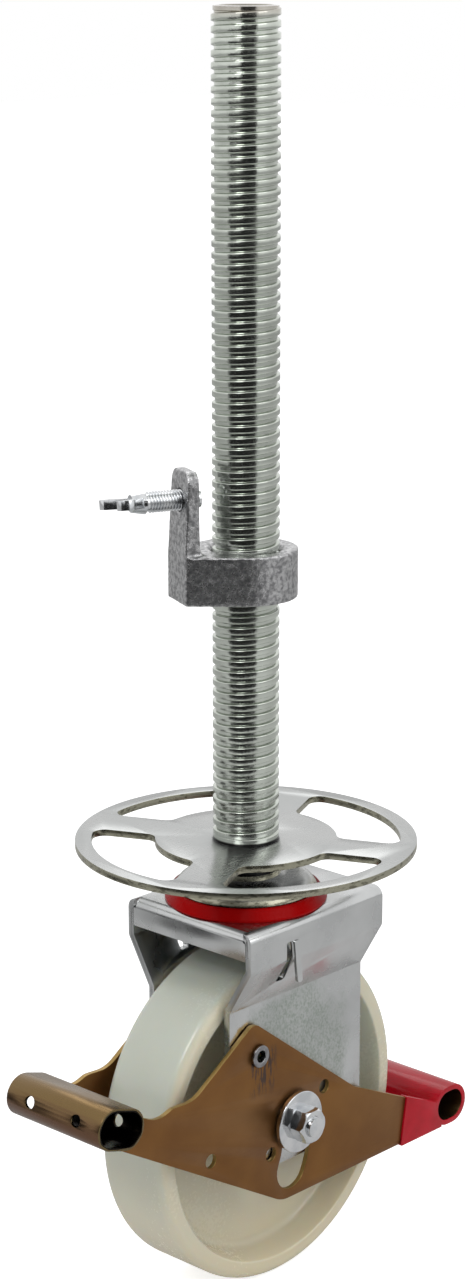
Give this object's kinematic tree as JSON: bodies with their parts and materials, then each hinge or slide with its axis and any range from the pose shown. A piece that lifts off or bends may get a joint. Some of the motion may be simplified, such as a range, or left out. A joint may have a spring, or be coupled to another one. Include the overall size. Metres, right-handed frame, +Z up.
{
  "type": "scaffold castor",
  "caption": "Scaffold castor with a threaded jack spindle, hand disc, collar nut, swivelling sheet fork, load-centring foot brake and nylon wheel.",
  "frame": {"origin": "centre of the spindle's top end, on the swivel axis", "axes": "+Z up along the spindle, +X the rolling direction towards the red pedal of the brake, Y along the wheel's axle"},
  "size_m": [0.3186, 0.197, 0.735],
  "materials": {
    "zinc_thread": "bright zinc plated, rolled thread",
    "zinc_sheet": "bright zinc plated sheet with faint mottling",
    "plain_steel": "machined steel",
    "ball_steel": "polished",
    "red_plastic": "glossy dipped coat",
    "bronze_passivated": "brown passivated sheet with golden edges",
    "gold_passivated": "iridescent yellow passivated",
    "bright_zinc": "bright zinc",
    "cage_plastic": "moulded",
    "ivory_nylon": "satin moulded nylon",
    "cast_zinc": "galvanised rough casting"
  },
  "bodies": {
    "spindle": {"spindle": "zinc_thread", "hand_disc": "zinc_sheet", "swivel_cap": "zinc_sheet", "kingpin": "plain_steel", "kingpin_nut": "plain_steel", "lower_cup": "zinc_sheet"},
    "fork": {"seal_ring": "red_plastic", "upper_balls": "ball_steel", "lower_balls": "ball_steel", "fork": "zinc_sheet", "brake_bridge": "zinc_sheet", "brake_pad": "plain_steel", "pivot_rivet_front": "bronze_passivated", "pivot_rivet_back": "bronze_passivated"},
    "rocker": {"rocker_plate_front": "bronze_passivated", "rocker_plate_back": "bronze_passivated", "handle_tube": "gold_passivated", "pedal_tube": "gold_passivated", "pedal_cover": "red_plastic"},
    "axle": {"axle_bolt": "bright_zinc", "axle_nut": "bright_zinc", "washer_front": "bright_zinc", "washer_back": "bright_zinc", "guide_bush_front": "plain_steel", "guide_bush_back": "plain_steel", "bearing_sleeve": "plain_steel"},
    "wheel": {"wheel": "ivory_nylon", "roller_cage": "cage_plastic", "rollers": "ball_steel"},
    "collar": {"collar_nut": "cast_zinc"},
    "wing_screw": {"wing_screw": "bright_zinc"}
  },
  "joints": [
    {"name": "swivel", "type": "hinge", "parent": "spindle", "child": "fork", "pos_m": [0, 0, -0.504], "axis": [0, 0, 1], "continuous": true},
    {"name": "brake_rocker", "type": "hinge", "parent": "fork", "child": "rocker", "pos_m": [-0.02745, 0, -0.5852], "axis": [0, -1, 0], "range_deg": [0, 34.3]},
    {"name": "axle_shift", "type": "slide", "parent": "fork", "child": "axle", "axis": [1, 0, 0], "range_m": [0, 0.0363]},
    {"name": "wheel_spin", "type": "hinge", "parent": "axle", "child": "wheel", "pos_m": [0.00405, 0, -0.635], "axis": [0, 1, 0], "continuous": true},
    {"name": "collar_height", "type": "slide", "parent": "spindle", "child": "collar", "axis": [0, 0, 1], "range_m": [-0.13, 0.25]},
    {"name": "wing_clamp", "type": "slide", "parent": "collar", "child": "wing_screw", "axis": [-0.9114, 0.4115, 0], "range_m": [-0.009, 0.012]}
  ],
  "couplings": [
    {"joint": "axle_shift", "follows": "brake_rocker", "m_per_rad": 0.060636}
  ]
}
